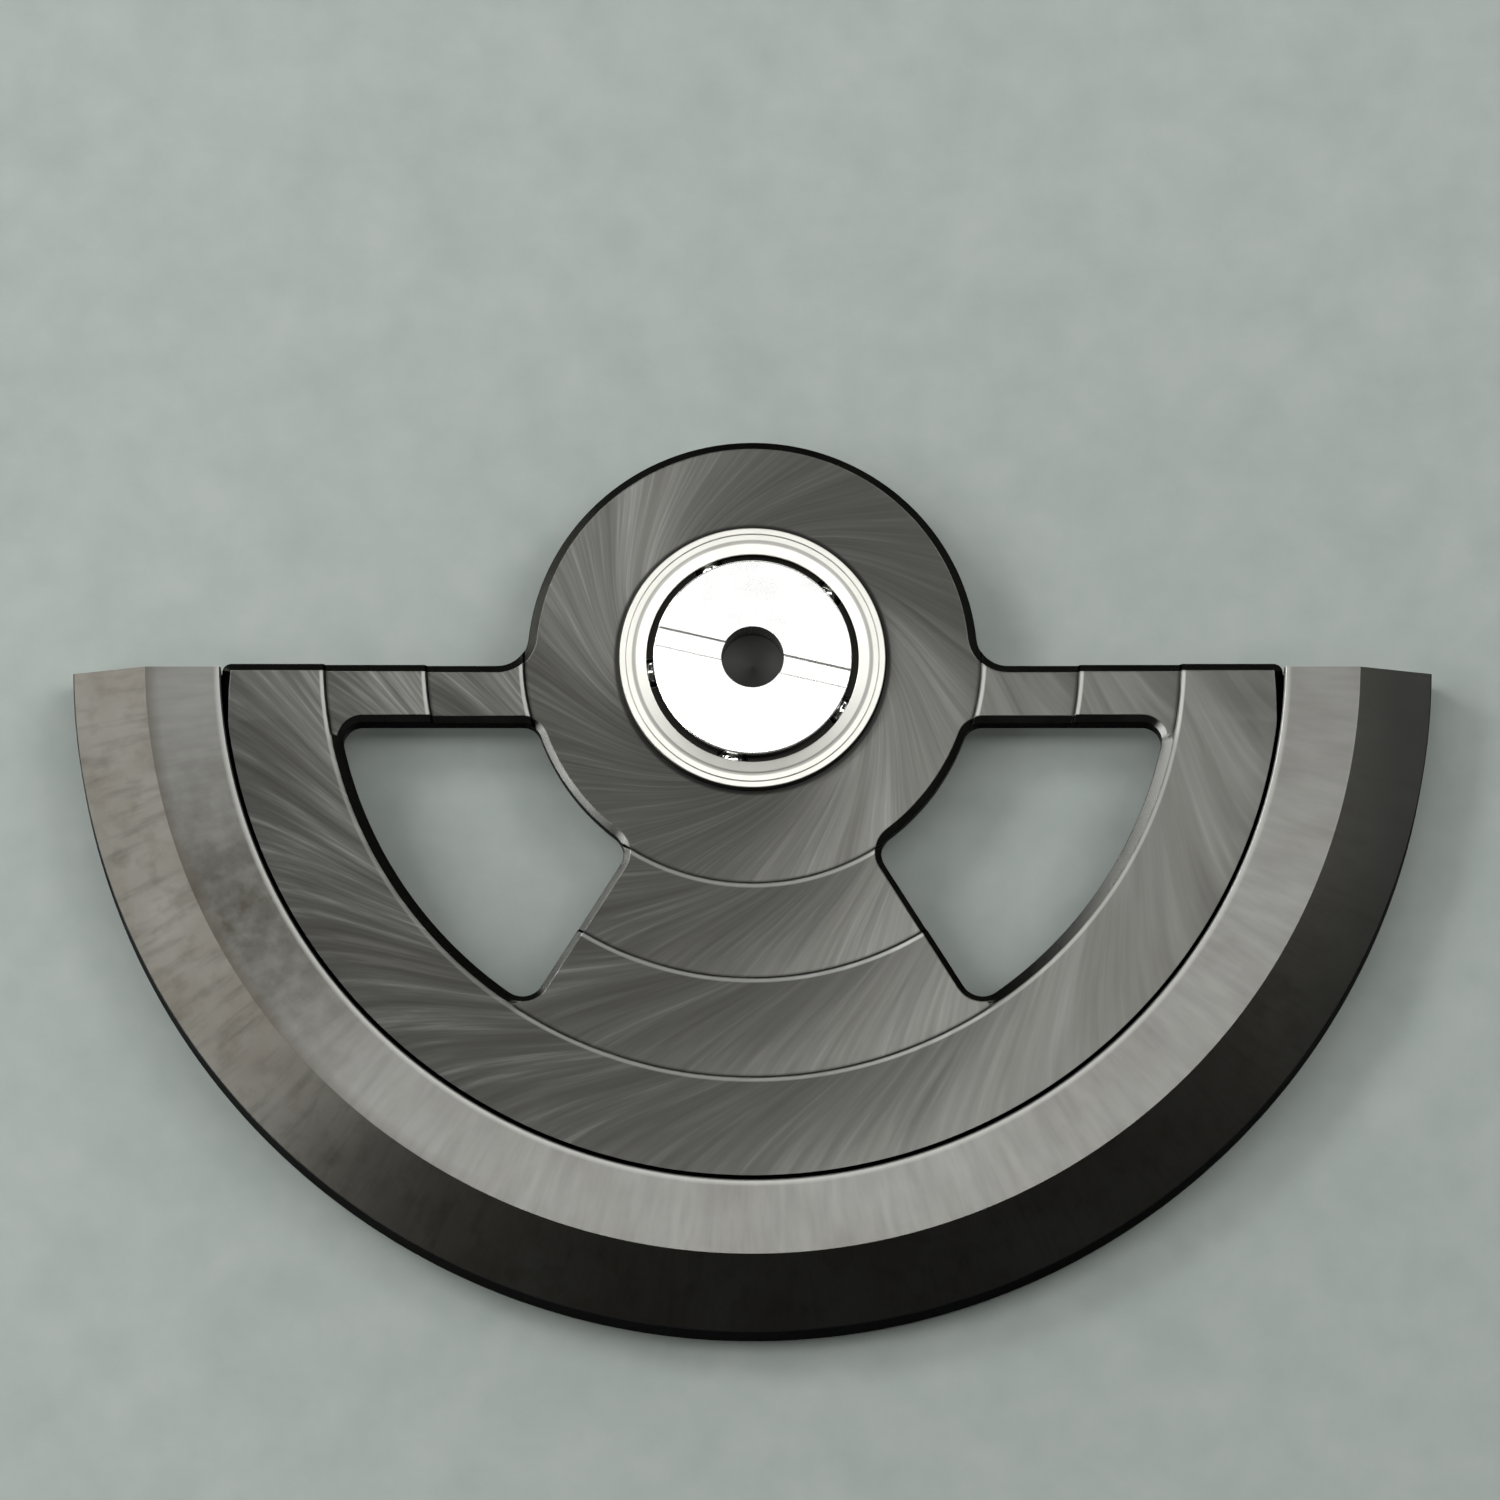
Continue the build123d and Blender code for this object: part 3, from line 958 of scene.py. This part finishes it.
def streak_and_reflection_factor(nodes, x, fine, broad):
    """Factor that lays fine grain streaks over the plate's tone, made stronger towards the left as painted
    reflection.
    """
    # Grain streaks strengthened towards the left: painted reflection
    leftward = nodes.scaled(x, -0.5 / plate_radius, 0.5)
    coarse = nodes.grey(leftward, (0.2, 0.08), (0.5, 0.25), (0.65, 0.4), (0.85, 1.0))
    coarse = nodes.times(coarse, nodes.times(nodes.grey(broad, (0.40, 0.35), (0.60, 1.0)), 1.3))
    streaks = nodes.grey(fine, (0.30, 0.40), (0.46, 0.50), (0.56, 0.62), (0.68, 0.95))
    return nodes.scaled(nodes.scaled(streaks, 2.0, -1.0), coarse, 1.0)


def step_highlight(nodes, radius, angle, inner, on_top):
    """Share of pale painted highlight on each step's edge, fainter where the step runs along a window."""
    from_edge = nodes.math("SUBTRACT", radius, nodes.math("ADD", inner, step_run + step_highlight_width / 2))
    highlight = nodes.grey(nodes.math("ABSOLUTE", from_edge), (step_highlight_width / 4, 1), (step_highlight_width / 1.5, 0))
    highlight = nodes.times(highlight, nodes.math("GREATER_THAN", radius, hub_step_radius))
    from_spoke = nodes.math("ABSOLUTE", nodes.math("ADD", angle, math.pi / 2))
    between = nodes.grey(
        nodes.math("DIVIDE", from_spoke, math.pi),
        (window_start, 0), (window_start + window_fade_in, 1),
        (window_end - window_fade_out, 1), (window_end - window_stop, 0),
    )
    beside = nodes.times(between, nodes.math("GREATER_THAN", radius, window_radius))
    return nodes.times(highlight, nodes.scaled(beside, -beside_loss, on_top))


def plate_material():
    """Brushed steel whose grain fans out over each terrace in curved strokes."""
    nodes = Nodes("plate_steel")
    place = nodes.place()
    x, _, z, radius, angle = nodes.polar(place)
    inner, outer = terrace_span(nodes, radius)
    lean, stroke = strokes(nodes, radius, angle, inner, outer)
    fine = grain_noise(nodes, stroke, radius, 42, 0.5, 4, 0.6)
    broad = grain_noise(nodes, stroke, radius, 7, 0.25, 3, 0.5)
    tone = nodes.scaled(fine, 0.2, nodes.times(broad, 0.8))
    colour = nodes.ramp(tone, *grain_stops)
    colour = nodes.mix(1.0, colour, streak_and_reflection_factor(nodes, x, fine, broad), "MULTIPLY")
    on_top = nodes.math("GREATER_THAN", z, plate_bottom_z + step_height)
    # Pale painted highlight along each step's edge
    colour = nodes.mix(step_highlight(nodes, radius, angle, inner, on_top), colour, step_highlight_steel)
    # Painted shade at the foot of each step and on the plate beside the ring
    foot = nodes.grey(nodes.math("SUBTRACT", outer, radius), (0.0, 0.8), (foot_shade, 0))
    seat = nodes.grey(nodes.math("SUBTRACT", radius, ring_radius), (foot_shade, 0.9), (2 * foot_shade, 0))
    colour = nodes.mix(nodes.times(nodes.math("MAXIMUM", foot, seat), on_top), colour, shaded_steel)
    rough = nodes.grey(fine, (0.3, 0.47), (0.7, 0.43))
    swing = nodes.grey(broad, *swing_stops)
    wander = nodes.scaled(swing, 2 * stroke_swing, nodes.math("SUBTRACT", lean, stroke_swing))
    tangent, bump = across_grain(nodes, place, wander), nodes.bump(fine, 0.002, 0.3)
    return nodes.finish(colour, rough, Normal=bump, Tangent=tangent, Anisotropic=0.95)


def edge_material():
    """Polished bevels and walls of the plate, painted dark as shade, with a painted highlight where a bevel
    of the lower half faces left.
    """
    nodes = Nodes("plate_edges")
    place = nodes.place()
    _, y, z, radius, angle = nodes.polar(place)
    drawn = grain_noise(nodes, angle, nodes.math("ADD", radius, z), 6, 14, 3, 0.5)
    film = nodes.noise(place, 1.3, 4, 0.55)
    colour = nodes.ramp(film, *edge_painted_shade_stops)
    right, _, up = nodes.parts(nodes.coordinates("Normal"))
    # Painted highlight on bevels of the lower half that face left
    painted_highlight = nodes.grey(nodes.times(right, -1.0), (0.42, 0), (0.60, 1))
    painted_highlight = nodes.times(painted_highlight, nodes.math("GREATER_THAN", up, 0.3))
    painted_highlight = nodes.times(painted_highlight, nodes.math("LESS_THAN", y, arm_lower_y))
    colour = nodes.mix(painted_highlight, colour, edge_painted_highlight)
    rough = nodes.grey(film, (0.35, 0.30), (0.65, 0.25))
    return nodes.finish(colour, rough, 0.25, Normal=nodes.bump(drawn, 0.0002, 0.06))


def stain(nodes, angle, specks):
    """Share of brown stain on the weight's flat: strongest at one angle, and blotched."""
    offset = nodes.math("ADD", angle, math.radians(stain_angle))
    offset = nodes.math("DIVIDE", offset, math.radians(stain_spread))
    near = nodes.math("SUBTRACT", 1.0, nodes.math("ABSOLUTE", offset))
    return nodes.times(nodes.math("MAXIMUM", near, 0.0), nodes.grey(specks, (0.35, 0.5), (0.65, 0.9)))


def flat_colour(nodes, x, radius, stained, fine, cloud):
    """The weight's flat: stained, with a brown seam on its left and a pale painted highlight along its
    inner edge.
    """
    flat = nodes.ramp(cloud, *alloy_stops)
    drawn = nodes.grey(fine, (0.30, 0.85), (0.50, 0.93), (0.70, 1.0))
    flat = nodes.mix(1.0, flat, nodes.times(drawn, 1.075), "MULTIPLY")
    flat = nodes.mix(stained, flat, stain_brown)
    seam = nodes.grey(nodes.math("SUBTRACT", bevel_radius, radius), (0.02, 0.55), (0.26, 0))
    left = nodes.grey(nodes.math("DIVIDE", x, -weight_radius), (0.35, 0.1), (0.75, 1))
    flat = nodes.mix(nodes.times(seam, left), flat, seam_brown)
    # Pale painted highlight along the flat's inner edge
    painted_highlight = nodes.grey(nodes.math("SUBTRACT", radius, lip_radius), (0.07, 0.9), (0.15, 0))
    return nodes.mix(painted_highlight, flat, alloy_painted_highlight)


def rim_colour(nodes, x, fine, cloud, specks):
    """The weight's wide bevel: clouded and specked, with painted shade towards its right end."""
    rim = nodes.ramp(cloud, *rim_stops)
    rim = nodes.mix(nodes.grey(specks, (0.50, 0.0), (0.70, 0.32)), rim, speck_brown)
    rim = nodes.mix(1.0, rim, nodes.grey(fine, (0.30, 0.78), (0.50, 1.0), (0.70, 1.0)), "MULTIPLY")
    # Painted shade towards the rim's right end
    right = nodes.grey(nodes.math("DIVIDE", x, weight_radius), (0.76, 0.0), (0.95, 1.0))
    return nodes.mix(right, rim, rim_painted_shade)


def weight_material():
    """Satin tungsten alloy, finely drawn round the axis, with painted shade on the faces that do not look
    up.
    """
    nodes = Nodes("weight_alloy")
    place = nodes.place()
    x, _, _, radius, angle = nodes.polar(place)
    fine = grain_noise(nodes, angle, radius, 60, 0.8, 4, 0.6)
    cloud = nodes.noise(place, 0.55, 4, 0.55)
    specks = nodes.noise(place, 2.4, 4, 0.55)
    flat = flat_colour(nodes, x, radius, stain(nodes, angle, specks), fine, cloud)
    on_rim = nodes.math("GREATER_THAN", radius, bevel_radius)
    tops = nodes.mix(on_rim, flat, rim_colour(nodes, x, fine, cloud, specks))
    # Faces that do not look up are painted darker, as shade
    sides = nodes.ramp(cloud, *side_painted_shade_stops)
    up = nodes.parts(nodes.coordinates("Normal"))[2]
    colour = nodes.mix(nodes.grey(up, (0.70, 0), (0.80, 1)), sides, tops)
    rough = nodes.scaled(on_rim, -0.09, nodes.grey(fine, (0.3, 0.41), (0.7, 0.37)))
    return nodes.finish(colour, rough, Normal=nodes.bump(fine, 0.0012, 0.15))


def wall_material():
    """Matt outer wall of the weight, painted dark as shade."""
    nodes = Nodes("weight_wall")
    cloud = nodes.noise(nodes.place(), 1.5, 4, 0.55)
    colour = nodes.ramp(cloud, *wall_painted_shade_stops)
    return nodes.finish(colour, nodes.grey(cloud, (0.3, 0.5), (0.7, 0.42)), 0.12)


def polished_material(name, colour, roughness, blotch=0.3, lines=()):
    """Polished metal with faint tool marks round the axis, and dark lines at some radii."""
    nodes = Nodes(name)
    place = nodes.place()
    _, _, z, radius, _ = nodes.polar(place)
    rings = nodes.noise(nodes.combine(radius, z, 0.0), 45, 2, 0.5)
    cloud = nodes.noise(place, 1.7, 3, 0.5)
    tint = nodes.mix(nodes.grey(cloud, (0.35, 0.0), (0.7, blotch)), colour, tuple(0.8 * c for c in colour))
    for line, width, share in lines:
        gap = nodes.math("ABSOLUTE", nodes.math("SUBTRACT", radius, line))
        tint = nodes.mix(nodes.grey(gap, (width / 2, share), (width, 0)), tint, line_dark)
    rough = nodes.grey(cloud, (0.3, roughness), (0.7, roughness + 0.05))
    return nodes.finish(tint, rough, Normal=nodes.bump(rings, 0.0004, 0.2))


def floor_material():
    """Plain pale paper."""
    nodes = Nodes("floor_paper")
    cloud = nodes.noise(nodes.place(), 0.9, 5, 0.6)
    paper = {"Metallic": 0.0, "Specular IOR Level": 0.1}
    return nodes.finish(nodes.ramp(cloud, *paper_stops), 0.8, **paper)


def dress(piece, body, node, slot, *materials):
    """Gives a piece its materials and body, and lets it stand for a CAD node."""
    for material in materials:
        piece.data.materials.append(material)
    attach(piece, body)
    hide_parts(node)


# Dark lines on the bearing rings: painted shade along the outer ring's edge, a dark joint at the cover
# ring's edge, and a dark line where the cover's lip starts
lip_edge = cover_radius - cover_lip_width
ring_lines = [(ring_radius, 0.05, 1.0), (cover_radius, 0.02, 0.35), (lip_edge, 0.05, 0.55)]
polished_steel = polished_material("polished_steel", (0.82, 0.81, 0.75), 0.40, lines=ring_lines)
screw_steel = polished_material("screw_steel", (0.80, 0.80, 0.775), 0.22, blotch=0.1)
# Inside of the screw's centre hole: painted dark as shade
bore_painted_shade = polished_material("bore_painted_shade", (0.05, 0.05, 0.047), 0.55)
ball_steel = polished_material("ball_steel", (0.75, 0.75, 0.74), 0.06)
cage_metal = polished_material("cage_metal", (0.035, 0.033, 0.03), 0.45)
gear_metal = polished_material("gear_metal", (0.74, 0.55, 0.27), 0.24)

ball_places = {}
for name in sorted(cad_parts):
    if name.startswith("ball_") and name != "ball_cage":
        ball_low, ball_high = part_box(name)
        ball_places[name] = np.array((ball_low + ball_high) / 2) / MM

dress(make_plate(), "rotor", "rotor_plate", "plate_steel", plate_material(), edge_material())
dress(make_weight(), "rotor", "heavy_segment", "weight_alloy", weight_material(), wall_material())
dress(make_outer_ring(), "rotor", "bearing_outer_ring", "polished_steel", polished_steel)
dress(make_cover_ring(), "rotor", "bearing_cover_ring", "polished_steel", polished_steel)
dress(make_gear(), "rotor", "drive_gear", "gear_metal", gear_metal)
dress(make_core(), "core", "bearing_core", "polished_steel", polished_steel)
dress(make_cone(), "core", "upper_race_cone", "polished_steel", polished_steel)
dress(make_cage(ball_places.values()), "cage", "ball_cage", "cage_metal", cage_metal)
dress(make_screw(), "screw", "rotor_screw", "screw_steel", screw_steel, bore_painted_shade)
for name, place in ball_places.items():
    dress(make_ball(name + "_dressed", place), name, name, "ball_steel", ball_steel)


# Floor, lamps, room and camera
floor_size, floor_gap = 400, 0.02
room_low, room_high, room_light, room_dark = 0.15, 0.40, 0.45, 0.04
room_colour = (0.95, 1.0, 0.97)
camera_elevation, camera_distance, frame_width = 77.5, 320, 28.63
camera_target = (-0.048, -1.80, 0.95)
sensor_width = 36


def make_floor():
    """Square floor just under the lowest point."""
    half, height = floor_size / 2 * MM, (weight_bottom_z - floor_gap) * MM
    mesh = bpy.data.meshes.new("floor")
    corners = [(-half, -half, height), (half, -half, height), (half, half, height), (-half, half, height)]
    mesh.from_pydata(corners, [], [(0, 1, 2, 3)])
    mesh.materials.append(floor_material())
    return put_in_scene("floor", mesh)


def softbox(name, place, target, width, height, radiance):
    """Rectangular lamp of a given brightness that looks from a place to a target."""
    lamp = bpy.data.lights.new(name, "AREA")
    lamp.shape = "RECTANGLE"
    lamp.size, lamp.size_y = width * MM, height * MM
    lamp.energy = radiance * math.pi * width * height * MM**2
    held = put_in_scene(name, lamp)
    held.location = Vector(place) * MM
    held.rotation_euler = (Vector(target) - Vector(place)).to_track_quat("-Z", "Y").to_euler()
    held.visible_camera = False


def make_room():
    """Dim surroundings, lighter near the horizon than overhead."""
    nodes = Nodes("studio", bpy.data.worlds)
    height = nodes.parts(nodes.coordinates("Generated"))[2]
    limits = {"From Min": room_low, "From Max": room_high, "To Min": room_light, "To Max": room_dark}
    glow = nodes.node("MapRange", {"Value": height, **limits}, interpolation_type="SMOOTHSTEP")
    nodes.feed(nodes.tree.nodes["Background"], {"Strength": glow.outputs[0], "Color": room_colour})
    bpy.context.scene.world = nodes.owner


def make_camera():
    """Camera that looks at its target from high above the half ring's side."""
    data = bpy.data.cameras.new("camera")
    data.sensor_width = sensor_width
    data.lens = sensor_width * camera_distance / frame_width
    data.clip_start, data.clip_end = 10 * MM, 5000 * MM
    rise = math.radians(camera_elevation)
    back = Vector((0, -math.cos(rise), math.sin(rise)))
    camera = put_in_scene("camera", data)
    camera.location = (Vector(camera_target) + back * camera_distance) * MM
    camera.rotation_euler = (-back).to_track_quat("-Z", "Y").to_euler()
    bpy.context.scene.camera = camera


floor = make_floor()

# Lamps: name, place, target, width, height and brightness
softbox("strip", (-12, 0, 115), (-12, 0, 0), 130, 24, 4.0)
softbox("mirror_panel", (0, 25, 115), (0, 0, 0), 24, 16, 2.4)
softbox("far_right", (88, 28, 115), (88, 20, 0), 76, 78, 3.6)
softbox("far_left", (-110, 60, 115), (-110, 10, 0), 64, 38, 12.0)
softbox("left_high", (-108, -12, 100), (0, 0, 0), 110, 60, 3.0)
softbox("left_edge", (-141, -51, 14), (0, 0, 4), 130, 26, 12.0)
softbox("left_back_edge", (-128, 78, 14), (0, 0, 4), 110, 26, 12.0)
softbox("right_back", (90, 80, 60), (0, 0, 0), 70, 50, 1.8)
softbox("back_low", (0, 150, 40), (0, 0, 0), 160, 50, 2.1)

make_room()
make_camera()
bpy.context.scene.view_settings.view_transform = "Standard"
